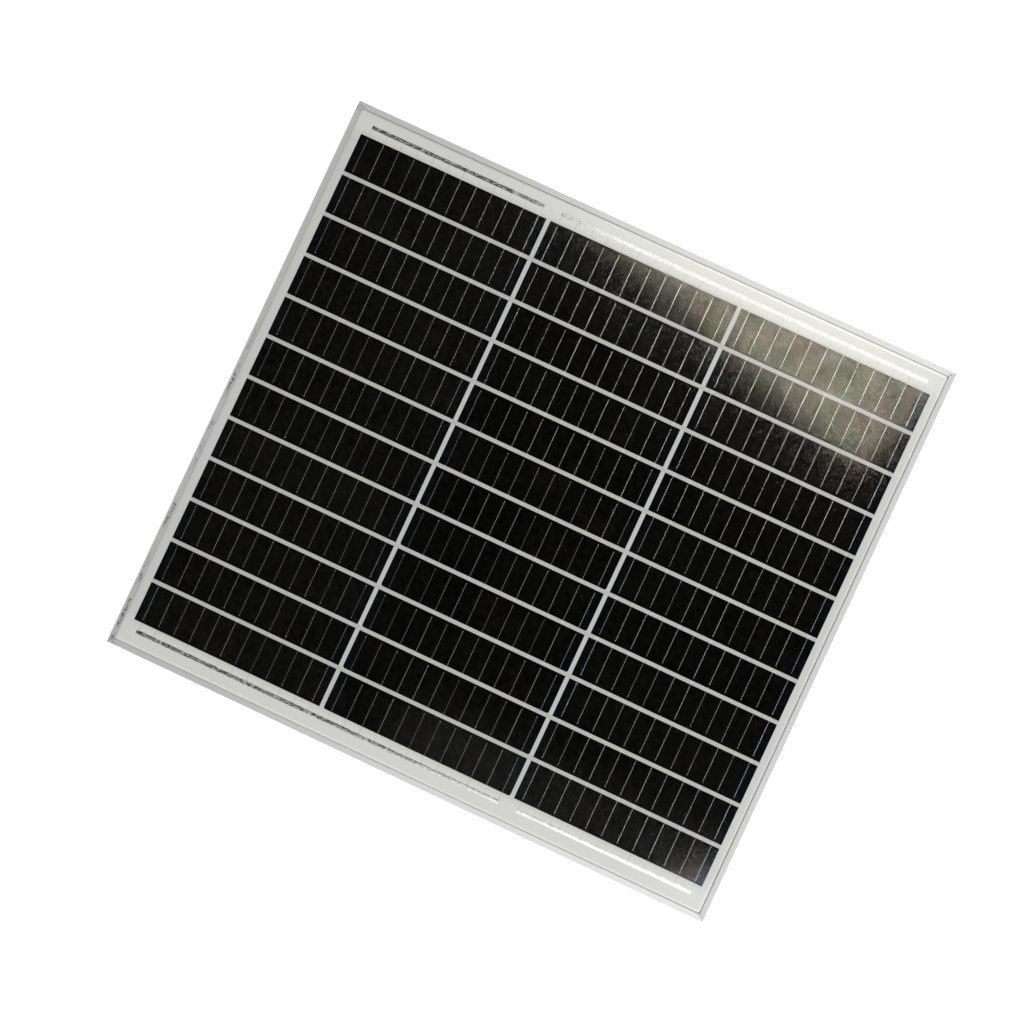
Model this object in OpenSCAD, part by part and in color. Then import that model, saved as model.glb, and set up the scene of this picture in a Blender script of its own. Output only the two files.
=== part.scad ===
// Framed solar panel with thirty-six strip cells in three strings of twelve.
// The panel lies on its back flanges with the glass up. +X runs across the strings,
// +Y runs along them, and +Z points out of the glass. The origin is at the middle of
// the back plane. All sizes are in millimetres.

/* [Panel] */
// Outer width across the strings
panel_w = 669; // [669:1:720]
// Outer height along the strings
panel_h = 611; // [611:1:660]
// Depth of the frame
panel_d = 25; // [25:1:35]

/* [Cells] */
// Number of strings side by side
strings = 3; // [3:1:3]
// Number of cells in one string
rows = 12; // [12:1:12]
// Cell width across the string
cell_w = 210; // [205:0.5:210]
// Cell height along the string
cell_h = 42; // [41:0.5:42]
// Thickness of the silicon
cell_t = 0.18; // [0.16:0.01:0.2]
// Gap between strings
string_gap = 4.5; // [4:0.1:6]
// Gap between the cells of a string
row_gap = 4.1; // [4:0.1:4.5]
// How far the cells sit above the middle of the panel
cell_rise = 1; // [0:0.5:1]
// First row of the middle string whose cells keep the wafer's cut corners
corner_row = 7; // [1:1:12]
// Size of the wafer's cut corners
corner_cut = 1.5; // [1:0.1:2]

/* [Ribbons] */
// Busbar ribbons on each cell
ribbons = 12; // [9:1:12]
// Width of a busbar ribbon
ribbon_w = 0.8; // [0.6:0.1:1]
// Thickness of a ribbon
ribbon_t = 0.25; // [0.2:0.01:0.25]
// Bare cell between a ribbon's end and the cell's far edge
ribbon_stop = 3; // [2:0.5:5]
// Width of a bus ribbon
bus_w = 4; // [3:0.5:5]
// From the cells' edge to the middle of the top bus ribbons
bus_top = 10.8; // [10:0.1:12]
// From the cells' edge to the middle of the bottom bus ribbons
bus_bottom = 10.2; // [10:0.1:12]

/* [Laminate] */
// Thickness of the glass
glass_t = 3.2; // [3:0.1:3.2]
// Thickness of the backsheet
backsheet_t = 0.3; // [0.3:0.05:0.4]
// Encapsulant in front of the cells
front_film = 0.5; // [0.4:0.05:0.6]
// Encapsulant behind the rear ribbons
rear_film = 0.57; // [0.5:0.01:0.6]
// Sealant above and below the laminate
seal_t = 0.4; // [0.3:0.1:0.5]
// Sealant around the laminate's edge
seal_edge = 1.2; // [1:0.1:1.5]

/* [Frame] */
// Wall thickness of the extrusion
wall = 1.4; // [1.2:0.1:1.4]
// Thickness of the front lip
lip_t = 1.3; // [1.2:0.1:1.4]
// Width of the front lip
lip_w = 6; // [5:0.5:7]
// Width of the box section behind the laminate
box_w = 9; // [9:0.5:10]
// Width of the back flange
flange_w = 22; // [20:0.5:24]
// Thickness of the back flange
flange_t = 1.6; // [1.4:0.1:1.8]
// Gap left at each mitre joint
mitre_gap = 0.15; // [0.1:0.05:0.2]
// Length of a corner key's leg
key_leg = 38; // [30:1:50]
// Radius of the mounting holes
mount_r = 3.5; // [3:0.25:4]
// Distance between the mounting holes along the strings
mount_span = 400; // [300:10:440]
// Radius of the earthing holes
earth_r = 2.1; // [2:0.1:2.5]
// Distance between the earthing holes across the strings
earth_span = 300; // [200:10:400]

/* [Junction box] */
// Width of the junction box
jbox_w = 92; // [90:1:96]
// Height of the junction box along the strings
jbox_h = 60; // [60:1:62]
// Wall of the junction box
jbox_wall = 2.6; // [2.4:0.1:2.8]
// Distance of the box's middle above the middle of the panel
jbox_y = 235; // [235:1:236]
// Distance between the two cable glands
gland_span = 40; // [38:1:42]
// Radius of the hole in the gland seal, for the cable
cable_r = 3; // [2.5:0.1:3]
// Across-flats width of the gland nuts
nut_flats = 14; // [14:0.5:14.5]

/* [Hidden] */
$fn = 48;
ease = 0.01;

// Cell grid
pitch_x = cell_w + string_gap;
pitch_y = cell_h + row_gap;
grid_h = rows * cell_h + (rows - 1) * row_gap;
grid_top = cell_rise + grid_h / 2;
grid_bottom = cell_rise - grid_h / 2;
ribbon_pitch = cell_w / ribbons;
string_margin = 0.4;
tail_step = 3;

// Heights of the layers, worked down from the front of the frame
lip_z = panel_d - lip_t;
glass_top = lip_z - seal_t;
glass_z = glass_top - glass_t;
cell_top = glass_z - front_film;
cell_z = cell_top - cell_t;
rear_z = cell_z - ribbon_t;
film_z = rear_z - rear_film;
sheet_z = film_z - backsheet_t;
shelf_z = sheet_z - seal_t;
lead_z = film_z + 0.1;
lead_t = 0.2;
bus_t = 0.25;
film_gap = 0.02;

// Laminate outline
edge = wall + seal_edge;
lam_w = panel_w - 2 * edge;
lam_h = panel_h - 2 * edge;

// Bus ribbons: the margin left between the end of a bus and the end of its strings
bus_top_y = grid_top + bus_top;
bus_bottom_y = grid_bottom - bus_bottom;
bus_inset = 7.5;

// Junction box, which sits behind the gap between the first and second strings
jbox_x = -pitch_x / 2;
glue_t = 0.8;
jbox_floor = 1.6;
jbox_top = sheet_z - glue_t;
jbox_rim = 3.6;
floor_z = jbox_top - jbox_floor;
jbox_r = 5;
jbox_end = jbox_y + jbox_h / 2;
gasket_w = 1.2;
gasket_h = 1.2;
gasket_out = 0.7;
lid_t = 2;
lid_z = jbox_rim - lid_t;

// Ribbons that lead to the terminals
lead_pitch = 17;
lead_slot_y = jbox_y + 12;
slot_side = 0.5;
slot_ends = 0.4;
lead_foot_z = 12;
lead_foot = 9;
return_x = string_x(strings) - cell_w / 2 + ribbon_pitch;
return_y = lead_slot_y - 8;

// Terminals and diodes
terminal_w = 9;
terminal_far = lead_slot_y - 19;
terminal_near = lead_slot_y - 1;
diode_y = terminal_far - 6;
diode_z = 13.2;

// Lid hinge
hinge_y = jbox_end + 3;
hinge_z = 4.6;
hinge_boss = 2.5;
pin_r = 1.5;
pin_clear = 0.05;
lug_x = 33;
lug_w = 3;
knuckle_w = 5;

// Glands
gland_z = 9.8;
gland_y = jbox_y - jbox_h / 2;
stub_r = 5;
stub_len = 8;
stub_bore = 3.5;
thread_clear = 0.05;
nut_len = 13.5;
nut_end = 2.5;
nut_gap = 1.5;
nut_exit_r = 3.3;
nut_corner = 0.35;
seal_len = 4.5;
seal_clear = 0.1;

CELLS = [for (s = [1:strings]) for (r = [1:rows]) str("cell_", s, "_", r)];

function string_x(s) = (s - (strings + 1) / 2) * pitch_x;
function row_top(r) = grid_top - (r - 1) * pitch_y;
function ribbon_x(s, i) = string_x(s) + (i - (ribbons - 1) / 2) * ribbon_pitch;
// The current runs up through the middle string and down through the other two
function flipped(s) = s % 2 == 0;

// A box from its lowest and highest corners
module span(low, high) {
    translate(low) cube(high - low);
}

// A slab from one height to another, centred on the panel
module slab(w, h, z0, z1) {
    translate([-w / 2, -h / 2, z0]) cube([w, h, z1 - z0]);
}

// A flat outline with round corners
module round_rect(w, h, r) {
    square([w - 2 * r, h], center = true);
    square([w, h - 2 * r], center = true);
    for (x = [-1, 1], y = [-1, 1])
        translate([x * (w / 2 - r), y * (h / 2 - r)]) circle(r);
}

// ---------------------------------------------------------------- cells

// A strip of wafer; strips from the edge of a wafer keep its cut corners
module cell(s, r) {
    c = (flipped(s) && r >= corner_row) ? corner_cut : 0;
    y0 = row_top(r) - cell_h;
    x0 = string_x(s) - cell_w / 2;
    x1 = x0 + cell_w;
    outline = c > 0
        ? [[x0 + c, y0], [x1 - c, y0], [x1, y0 + c], [x1, y0 + cell_h],
           [x0, y0 + cell_h], [x0, y0 + c]]
        : [[x0, y0], [x1, y0], [x1, y0 + cell_h], [x0, y0 + cell_h]];
    color([0.03, 0.035, 0.05])
        translate([0, 0, cell_z]) linear_extrude(cell_t) polygon(outline);
}

// ---------------------------------------------------------------- ribbons

// Side outline, in Y and Z, of a ribbon that runs on a cell's front from front_y to the
// middle of a gap and there steps down to run behind the next cell to rear_y
module step_outline(front_y, step_y, rear_y) {
    half = 0.5 * sign(step_y - front_y);
    polygon([
        [front_y, cell_top], [step_y - half, cell_top], [step_y - half, rear_z],
        [rear_y, rear_z], [rear_y, cell_z], [step_y + half, cell_z],
        [step_y + half, cell_top + ribbon_t], [front_y, cell_top + ribbon_t]]);
}

// The same ribbon as a solid
module step_ribbon(x, front_y, step_y, rear_y) {
    translate([x - ribbon_w / 2, 0, 0]) rotate([90, 0, 90])
        linear_extrude(ribbon_w) step_outline(front_y, step_y, rear_y);
}

// All the ribbons that lead from cell to cell, and the tails under the bus ribbons
module tabbing_ribbons() {
    top_end = bus_top_y + bus_w / 2;
    bottom_end = bus_bottom_y - bus_w / 2;
    color([0.75, 0.76, 0.78])
    for (s = [1:strings], i = [0:ribbons - 1]) {
        x = ribbon_x(s, i);
        if (flipped(s)) {
            span([x - ribbon_w / 2, grid_top - cell_h + ribbon_stop, rear_z],
                [x + ribbon_w / 2, top_end, cell_z]);
            for (r = [1:rows - 1])
                step_ribbon(x, row_top(r) - ribbon_stop, row_top(r) - cell_h - row_gap / 2,
                    row_top(r + 1) - cell_h + ribbon_stop);
            step_ribbon(x, row_top(rows) - ribbon_stop, grid_bottom - tail_step, bottom_end);
        } else {
            step_ribbon(x, row_top(1) - cell_h + ribbon_stop, grid_top + tail_step, top_end);
            for (r = [1:rows - 1])
                step_ribbon(x, row_top(r + 1) - cell_h + ribbon_stop,
                    row_top(r) - cell_h - row_gap / 2, row_top(r) - ribbon_stop);
            span([x - ribbon_w / 2, bottom_end, rear_z],
                [x + ribbon_w / 2, row_top(rows) - ribbon_stop, cell_z]);
        }
    }
}

// The straight part of a bus ribbon, over the tails of the strings from s0 to s1
module bus_bar(s0, s1, y, grow = 0) {
    span([string_x(s0) - cell_w / 2 + bus_inset - grow, y - bus_w / 2 - grow, cell_z],
        [string_x(s1) + cell_w / 2 - bus_inset + grow, y + bus_w / 2 + grow,
         cell_z + bus_t + grow]);
}

// Drop of a lead through the backsheet and its foot on the terminal
module lead_drop(x) {
    span([x - bus_w / 2, lead_slot_y - lead_t, lead_foot_z],
        [x + bus_w / 2, lead_slot_y, lead_z + lead_t]);
    span([x - bus_w / 2, lead_slot_y - lead_foot, lead_foot_z],
        [x + bus_w / 2, lead_slot_y, lead_foot_z + lead_t]);
}

// Lead from a top bus ribbon down to the junction box
module top_lead(x) {
    span([x - bus_w / 2, bus_top_y - bus_w / 2, lead_z],
        [x + bus_w / 2, bus_top_y - bus_w / 2 + lead_t, cell_z + bus_t]);
    span([x - bus_w / 2, lead_slot_y - lead_t, lead_z],
        [x + bus_w / 2, bus_top_y - bus_w / 2 + lead_t, lead_z + lead_t]);
    lead_drop(x);
}

// Lead from the bottom right bus ribbon, behind the cells, up to the junction box
module return_run(grow = 0) {
    span([return_x - bus_w / 2 - grow, bus_bottom_y + bus_w / 2 - lead_t - grow, lead_z],
        [return_x + bus_w / 2 + grow, return_y + bus_w / 2 + grow, lead_z + lead_t]);
    span([jbox_x - bus_w / 2 - grow, return_y - bus_w / 2 - grow, lead_z],
        [return_x + bus_w / 2 + grow, return_y + bus_w / 2 + grow, lead_z + lead_t]);
    span([jbox_x - bus_w / 2 - grow, return_y - bus_w / 2 - grow, lead_z],
        [jbox_x + bus_w / 2 + grow, lead_slot_y + grow, lead_z + lead_t]);
}

module bus_ribbon_top_left() {
    color([0.72, 0.72, 0.74]) {
        bus_bar(1, 1, bus_top_y);
        top_lead(jbox_x - lead_pitch);
    }
}

module bus_ribbon_top_right() {
    color([0.72, 0.72, 0.74]) {
        bus_bar(2, strings, bus_top_y);
        top_lead(jbox_x + lead_pitch);
    }
}

module bus_ribbon_bottom_left() {
    color([0.72, 0.72, 0.74]) bus_bar(1, 2, bus_bottom_y);
}

module bus_ribbon_bottom_right() {
    color([0.72, 0.72, 0.74]) {
        bus_bar(strings, strings, bus_bottom_y);
        span([return_x - bus_w / 2, bus_bottom_y + bus_w / 2 - lead_t, lead_z],
            [return_x + bus_w / 2, bus_bottom_y + bus_w / 2, cell_z + bus_t]);
        return_run();
        lead_drop(jbox_x);
    }
}

// ---------------------------------------------------------------- laminate

// Pockets for the four bus ribbons
module bus_pockets() {
    bus_bar(1, 1, bus_top_y, ease);
    bus_bar(2, strings, bus_top_y, ease);
    bus_bar(1, 2, bus_bottom_y, ease);
    bus_bar(strings, strings, bus_bottom_y, ease);
}

// Grooves for one layer of ribbons, from the top bus to the bottom bus
module ribbon_grooves(z0, z1) {
    for (s = [1:strings], i = [0:ribbons - 1])
        span([ribbon_x(s, i) - ribbon_w / 2 - ease, bus_bottom_y - bus_w / 2 - ease, z0],
            [ribbon_x(s, i) + ribbon_w / 2 + ease, bus_top_y + bus_w / 2 + ease, z1]);
}

module front_glass() {
    color([0.8, 0.88, 0.86, 0.3]) slab(lam_w, lam_h, glass_z, glass_top);
}

// The clear front film, a hair's breadth off the cells and the glass
module encapsulant_front() {
    color([0.9, 0.9, 0.9, 0.3])
    difference() {
        slab(lam_w, lam_h, cell_top + film_gap, glass_z - film_gap);
        bus_pockets();
        ribbon_grooves(cell_top, cell_top + ribbon_t + ease);
    }
}

// The white rear film: a window for each string, with the ribbons' grooves below it
module encapsulant_back() {
    color([0.93, 0.93, 0.92])
    difference() {
        slab(lam_w, lam_h, film_z, cell_top);
        for (s = [1:strings])
            span([string_x(s) - cell_w / 2 - string_margin, grid_bottom - string_margin, cell_z],
                [string_x(s) + cell_w / 2 + string_margin, grid_top + string_margin,
                 cell_top + 1]);
        ribbon_grooves(rear_z, cell_top + 1);
        bus_pockets();
        for (x = [jbox_x - lead_pitch, jbox_x + lead_pitch]) {
            span([x - bus_w / 2 - ease, bus_top_y - bus_w / 2 - ease, lead_z],
                [x + bus_w / 2 + ease, bus_top_y - bus_w / 2 + lead_t + ease, cell_top + 1]);
            span([x - bus_w / 2 - ease, lead_slot_y - lead_t - ease, lead_z],
                [x + bus_w / 2 + ease, bus_top_y - bus_w / 2 + lead_t + ease,
                 lead_z + lead_t]);
        }
        span([return_x - bus_w / 2 - ease, bus_bottom_y + bus_w / 2 - lead_t - ease, lead_z],
            [return_x + bus_w / 2 + ease, bus_bottom_y + bus_w / 2 + ease, cell_top + 1]);
        return_run(ease);
        lead_slots(film_z - 1, lead_z + lead_t / 2);
    }
}

// The three slots that the leads pass through
module lead_slots(z0, z1) {
    for (k = [-1:1])
        span([jbox_x + k * lead_pitch - bus_w / 2 - slot_side,
              lead_slot_y - lead_t - slot_ends, z0],
            [jbox_x + k * lead_pitch + bus_w / 2 + slot_side, lead_slot_y + slot_ends, z1]);
}

module backsheet() {
    color([0.92, 0.92, 0.9])
    difference() {
        slab(lam_w, lam_h, sheet_z, film_z);
        lead_slots(sheet_z - 1, film_z + 1);
    }
}

// A channel of silicone round the laminate's edge
module frame_sealant() {
    under_lip = 0.5;
    inset = 2 * (lip_w - under_lip);
    shelf = 2 * box_w;
    color([0.85, 0.85, 0.84])
    difference() {
        slab(panel_w - 2 * wall, panel_h - 2 * wall, shelf_z, lip_z);
        slab(lam_w, lam_h, sheet_z, glass_top);
        slab(panel_w - inset, panel_h - inset, glass_top - ease, lip_z + 1);
        slab(panel_w - shelf, panel_h - shelf, shelf_z - 1, sheet_z + ease);
    }
}

// ---------------------------------------------------------------- frame

// Cross-section: x is the distance in from the outer face, y is the height.
// Two fine grooves run along the front lip.
module frame_section() {
    bevel = 0.5;
    lip_bevel = 0.3;
    groove_w = 0.4;
    groove_d = 0.2;
    groove_x = [2, 3.6];
    difference() {
        polygon([
            [bevel, panel_d], [0, panel_d - bevel], [0, bevel], [bevel, 0], [flange_w, 0],
            [flange_w, flange_t], [box_w, flange_t], [box_w, shelf_z], [wall, shelf_z],
            [wall, lip_z], [lip_w, lip_z], [lip_w, panel_d - lip_bevel],
            [lip_w - lip_bevel, panel_d]]);
        translate([wall, flange_t])
            square([box_w - 2 * wall, shelf_z - wall - flange_t]);
        for (x = groove_x)
            translate([x, panel_d - groove_d]) square([groove_w, 1]);
    }
}

// One member: the section drawn along +X, its outer face at -Y, with mitred ends
module member(len) {
    cut = 2 * flange_w;
    difference() {
        translate([-len / 2, 0, 0]) rotate([90, 0, 90])
            linear_extrude(len) frame_section();
        for (side = [-1, 1])
            translate([side * (len / 2 - mitre_gap), 0, 0])
                rotate([0, 0, 90 - 45 * side])
                    translate([0, -cut, -1]) cube([2 * cut, 3 * cut, panel_d + 2]);
        drain_slots(len);
    }
}

// Drain slots through the flange near each corner
module drain_slots(len) {
    from_end = 45;
    from_rim = 3;
    slot_len = 10;
    slot_w = 2.4;
    for (side = [-1, 1])
        translate([side * (len / 2 - from_end), flange_w - from_rim, flange_t / 2])
            cube([slot_len, slot_w, 2 * flange_t], center = true);
}

// Round holes through the flange, at x = +-span/2
module flange_holes(hole_span, r) {
    for (side = [-1, 1])
        translate([side * hole_span / 2, (box_w + flange_w) / 2, -1])
            cylinder(h = flange_t + 2, r = r);
}

module frame_bottom() {
    color([0.8, 0.81, 0.82])
    translate([0, -panel_h / 2, 0]) difference() {
        member(panel_w);
        flange_holes(earth_span, earth_r);
    }
}

module frame_top() {
    color([0.8, 0.81, 0.82])
    rotate([0, 0, 180]) translate([0, -panel_h / 2, 0]) difference() {
        member(panel_w);
        flange_holes(earth_span, earth_r);
    }
}

module frame_left() {
    color([0.76, 0.77, 0.78])
    rotate([0, 0, -90]) translate([0, -panel_w / 2, 0]) difference() {
        member(panel_h);
        flange_holes(mount_span, mount_r);
    }
}

module frame_right() {
    color([0.84, 0.85, 0.86])
    rotate([0, 0, 90]) translate([0, -panel_w / 2, 0]) difference() {
        member(panel_h);
        flange_holes(mount_span, mount_r);
    }
}

// Four angle keys that hold the mitres together inside the box section
module corner_keys() {
    fit = 0.1;
    w = box_w - 2 * wall - 2 * fit;
    z0 = flange_t + fit;
    z1 = shelf_z - wall - fit;
    color([0.6, 0.6, 0.62])
    for (sx = [-1, 1], sy = [-1, 1])
        scale([sx, sy, 1])
            translate([panel_w / 2 - wall - fit, panel_h / 2 - wall - fit, z0])
                linear_extrude(z1 - z0)
                    polygon([[0, 0], [-key_leg, 0], [-key_leg, -w], [-w, -w],
                        [-w, -key_leg], [0, -key_leg]]);
}

// ---------------------------------------------------------------- junction box

// Adhesive bead between the backsheet and the box
module box_adhesive() {
    inset = 3;
    bead_w = 6;
    inner = 2 * (inset + bead_w);
    color([0.2, 0.2, 0.2])
    translate([jbox_x, jbox_y, jbox_top]) linear_extrude(glue_t) difference() {
        round_rect(jbox_w - 2 * inset, jbox_h - 2 * inset, jbox_r - 2);
        round_rect(jbox_w - inner, jbox_h - inner, 2);
    }
}

// Hole along Y through the box's lower wall and the gland stub
module gland_bore(x) {
    translate([x, gland_y - stub_len - 1, gland_z]) rotate([-90, 0, 0])
        cylinder(h = stub_len + jbox_wall + 2, r = stub_bore);
}

// One ear of the lid hinge on the box, with the hole for the lid's pin
module hinge_lug(x) {
    back = jbox_end - 1;
    below = 0.6;
    translate([x - lug_w / 2, 0, 0]) difference() {
        union() {
            translate([0, hinge_y, hinge_z]) rotate([0, 90, 0])
                cylinder(h = lug_w, r = hinge_boss);
            translate([0, back, hinge_z - below])
                cube([lug_w, hinge_y - back, hinge_boss + below]);
        }
        translate([-1, hinge_y, hinge_z]) rotate([0, 90, 0])
            cylinder(h = lug_w + 2, r = pin_r + pin_clear);
    }
}

// The box opens downwards; its floor is glued to the backsheet
module junction_box_base() {
    inner_w = jbox_w - 2 * jbox_wall;
    inner_h = jbox_h - 2 * jbox_wall;
    window_x = lead_pitch + 6;
    window_y = 3;
    color([0.05, 0.05, 0.055])
    difference() {
        union() {
            translate([jbox_x, jbox_y, jbox_rim])
                linear_extrude(jbox_top - jbox_rim) round_rect(jbox_w, jbox_h, jbox_r);
            for (side = [-1, 1]) {
                translate([jbox_x + side * gland_span / 2, gland_y - stub_len, gland_z])
                    rotate([-90, 0, 0]) cylinder(h = stub_len + 1, r = stub_r);
                hinge_lug(jbox_x + side * lug_x);
            }
        }
        translate([jbox_x, jbox_y, jbox_rim - 1])
            linear_extrude(floor_z - jbox_rim + 1) round_rect(inner_w, inner_h, jbox_r - 2);
        translate([jbox_x, jbox_y, jbox_rim - 1])
            linear_extrude(gasket_h + 1) gasket_outline();
        for (side = [-1, 1])
            gland_bore(jbox_x + side * gland_span / 2);
        span([jbox_x - window_x, lead_slot_y - window_y, floor_z - 1],
            [jbox_x + window_x, lead_slot_y + window_y, jbox_top + 1]);
    }
}

// The groove in the rim, which the gasket fills
module gasket_outline() {
    inset = gasket_out + gasket_w;
    difference() {
        round_rect(jbox_w - 2 * gasket_out, jbox_h - 2 * gasket_out, jbox_r - gasket_out);
        round_rect(jbox_w - 2 * inset, jbox_h - 2 * inset, jbox_r - inset);
    }
}

module lid_gasket() {
    color([0.15, 0.15, 0.15])
        translate([jbox_x, jbox_y, jbox_rim]) linear_extrude(gasket_h) gasket_outline();
}

// One barrel of the lid hinge with its pin, on the side of the lug nearer the middle
module lid_knuckle(side) {
    clear = 0.3;
    overlap = 3;
    inner = lug_x - lug_w / 2 - clear - knuckle_w;
    translate([jbox_x, 0, 0]) scale([side, 1, 1]) {
        translate([inner, hinge_y, hinge_z]) rotate([0, 90, 0]) {
            cylinder(h = knuckle_w, r = hinge_boss);
            cylinder(h = knuckle_w + clear + lug_w, r = pin_r);
        }
        span([inner, jbox_end - overlap, lid_z], [inner + knuckle_w, hinge_y, jbox_rim]);
    }
}

// Tongue that clips over the box's lower wall
module lid_tongue(x) {
    half_w = 5;
    thick = 1.4;
    reach = 6;
    overlap = 4;
    outer = gland_y - 0.2;
    span([x - half_w, outer - thick, lid_z], [x + half_w, outer, jbox_rim + reach]);
    span([x - half_w, outer - thick, lid_z], [x + half_w, outer + overlap, jbox_rim]);
}

// The lid hinges about its upper edge and opens away from the panel
module junction_box_lid() {
    groove_pitch = 9;
    groove_w = 1.2;
    groove_end = 13;
    groove_d = 0.4;
    tongue_x = 37;
    color([0.06, 0.06, 0.065]) {
        difference() {
            translate([jbox_x, jbox_y, lid_z])
                linear_extrude(lid_t) round_rect(jbox_w, jbox_h, jbox_r);
            for (k = [-3:3])
                translate([jbox_x + k * groove_pitch, jbox_y, lid_z])
                    cube([groove_w, jbox_h - 2 * groove_end, 2 * groove_d], center = true);
        }
        for (side = [-1, 1]) {
            lid_knuckle(side);
            lid_tongue(jbox_x + side * tongue_x);
        }
    }
}

// Three clamps that join the leads to the cables, each with its screw
module terminals() {
    foot_top = lead_foot_z + lead_t;
    screw_r = 2.8;
    head_h = 2.2;
    head_root = 0.2;
    slot_w = 0.8;
    slot_d = 1;
    color([0.78, 0.68, 0.4])
    for (k = [-1:1])
        translate([jbox_x + k * lead_pitch, 0, 0]) {
            span([-terminal_w / 2, terminal_far, foot_top],
                [terminal_w / 2, terminal_near, floor_z]);
            translate([0, terminal_far + terminal_w / 2, foot_top - head_h]) difference() {
                cylinder(h = head_h + head_root, r = screw_r);
                cube([2 * screw_r + 1, slot_w, 2 * slot_d], center = true);
            }
        }
}

// A diode lying across two terminals, with its two wires bent up to them
module diode(x) {
    body_len = 9.3;
    body_r = 2.6;
    reach = 7;
    wire_r = 0.5;
    translate([x, diode_y, diode_z]) {
        rotate([0, 90, 0]) cylinder(h = body_len, r = body_r, center = true);
        rotate([0, 90, 0]) cylinder(h = 2 * reach, r = wire_r, center = true);
        for (side = [-1, 1])
            translate([side * reach, 0, 0]) {
                sphere(wire_r);
                rotate([-90, 0, 0]) cylinder(h = terminal_far - diode_y, r = wire_r);
            }
    }
}

module bypass_diodes() {
    color([0.12, 0.12, 0.13])
    for (side = [-1, 1])
        diode(jbox_x + side * lead_pitch / 2);
}

// A hexagonal nut that squeezes the seal on the cable
module gland_nut(x) {
    flat = nut_flats / 2;
    corner_r = flat / cos(30);
    bevel = 1.4;
    translate([x, gland_y - nut_gap - nut_len, gland_z]) rotate([-90, 0, 0]) difference() {
        intersection() {
            cylinder(h = nut_len, r = corner_r, $fn = 6);
            cylinder(h = nut_len, r = corner_r - nut_corner);
        }
        translate([0, 0, nut_end]) cylinder(h = nut_len, r = stub_r + thread_clear);
        translate([0, 0, -1]) cylinder(h = nut_end + 2, r = nut_exit_r);
        rotate_extrude() polygon([[flat - 1, -1], [flat + 2, -1],
            [flat + 2, bevel], [flat + nut_corner, bevel]]);
    }
}

module gland_nut_left() {
    color([0.07, 0.07, 0.075]) gland_nut(jbox_x - gland_span / 2);
}

module gland_nut_right() {
    color([0.07, 0.07, 0.075]) gland_nut(jbox_x + gland_span / 2);
}

// Rubber rings that grip the cables
module gland_seals() {
    color([0.2, 0.2, 0.2])
    for (side = [-1, 1])
        translate([jbox_x + side * gland_span / 2, gland_y - stub_len - seal_len, gland_z])
            rotate([-90, 0, 0]) difference() {
                cylinder(h = seal_len, r = stub_r - seal_clear);
                translate([0, 0, -1]) cylinder(h = seal_len + 2, r = cable_r);
            }
}

for (s = [1:strings], r = [1:rows])
    cell(s, r);
frame_top();
frame_bottom();
frame_left();
frame_right();
corner_keys();
frame_sealant();
front_glass();
encapsulant_front();
encapsulant_back();
backsheet();
bus_ribbon_top_left();
bus_ribbon_top_right();
bus_ribbon_bottom_left();
bus_ribbon_bottom_right();
tabbing_ribbons();
junction_box_base();
junction_box_lid();
lid_gasket();
box_adhesive();
terminals();
bypass_diodes();
gland_nut_left();
gland_nut_right();
gland_seals();
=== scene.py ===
"""Looks for a framed solar panel: materials, small pieces, studio and camera.

The panel lies on its back with the glass up. +X runs across the three strings of cells,
+Y along them, and +Z out of the glass. All lengths are in metres.
"""

import math
import random

import bpy
from mathutils import Matrix, Vector


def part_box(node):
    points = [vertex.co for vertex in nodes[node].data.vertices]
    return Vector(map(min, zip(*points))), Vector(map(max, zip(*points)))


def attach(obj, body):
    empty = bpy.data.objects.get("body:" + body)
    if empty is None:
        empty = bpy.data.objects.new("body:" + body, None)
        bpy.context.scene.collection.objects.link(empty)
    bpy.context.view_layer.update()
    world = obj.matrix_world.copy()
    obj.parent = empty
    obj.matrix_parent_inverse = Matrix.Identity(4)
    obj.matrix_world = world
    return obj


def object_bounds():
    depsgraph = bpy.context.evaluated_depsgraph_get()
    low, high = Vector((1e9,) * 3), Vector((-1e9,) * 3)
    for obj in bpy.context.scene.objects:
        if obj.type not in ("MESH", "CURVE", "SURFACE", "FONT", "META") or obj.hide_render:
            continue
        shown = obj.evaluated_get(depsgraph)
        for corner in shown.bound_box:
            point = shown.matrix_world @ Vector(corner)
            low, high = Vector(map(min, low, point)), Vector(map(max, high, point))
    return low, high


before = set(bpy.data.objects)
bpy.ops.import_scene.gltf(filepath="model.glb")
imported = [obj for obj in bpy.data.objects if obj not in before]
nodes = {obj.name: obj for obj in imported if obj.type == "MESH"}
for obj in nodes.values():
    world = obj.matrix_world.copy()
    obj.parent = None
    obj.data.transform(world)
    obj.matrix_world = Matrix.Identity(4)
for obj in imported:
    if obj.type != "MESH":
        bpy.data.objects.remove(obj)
cad_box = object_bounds()

MM = 0.001
STRINGS = 3
ROWS = 12
RIBBONS = 12

# ------------------------------------------------------------------ places, from the frame

cell_low, cell_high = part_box("cell_1_1")
second_string_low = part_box("cell_2_1")[0]
second_row_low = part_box("cell_1_2")[0]
glass_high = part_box("front_glass")[1]
sheet_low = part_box("backsheet")[0]
glue_low, glue_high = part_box("box_adhesive")
bound_low, bound_high = Vector(cad_box[0]), Vector(cad_box[1])

CELL_W = cell_high.x - cell_low.x
CELL_H = cell_high.y - cell_low.y
PITCH_X = second_string_low.x - cell_low.x
PITCH_Y = cell_low.y - second_row_low.y
RIBBON_PITCH = CELL_W / RIBBONS
GRID_TOP = cell_high.y
GRID_BOTTOM = GRID_TOP - (ROWS - 1) * PITCH_Y - CELL_H
BUS_W = 4 * MM
LOWER_BUS_Y = GRID_BOTTOM - 10.2 * MM
FRAME_BOX_W = 9 * MM


def string_left(s):
    """Left edge of string s, counted from 0."""
    return cell_low.x + s * PITCH_X


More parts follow.
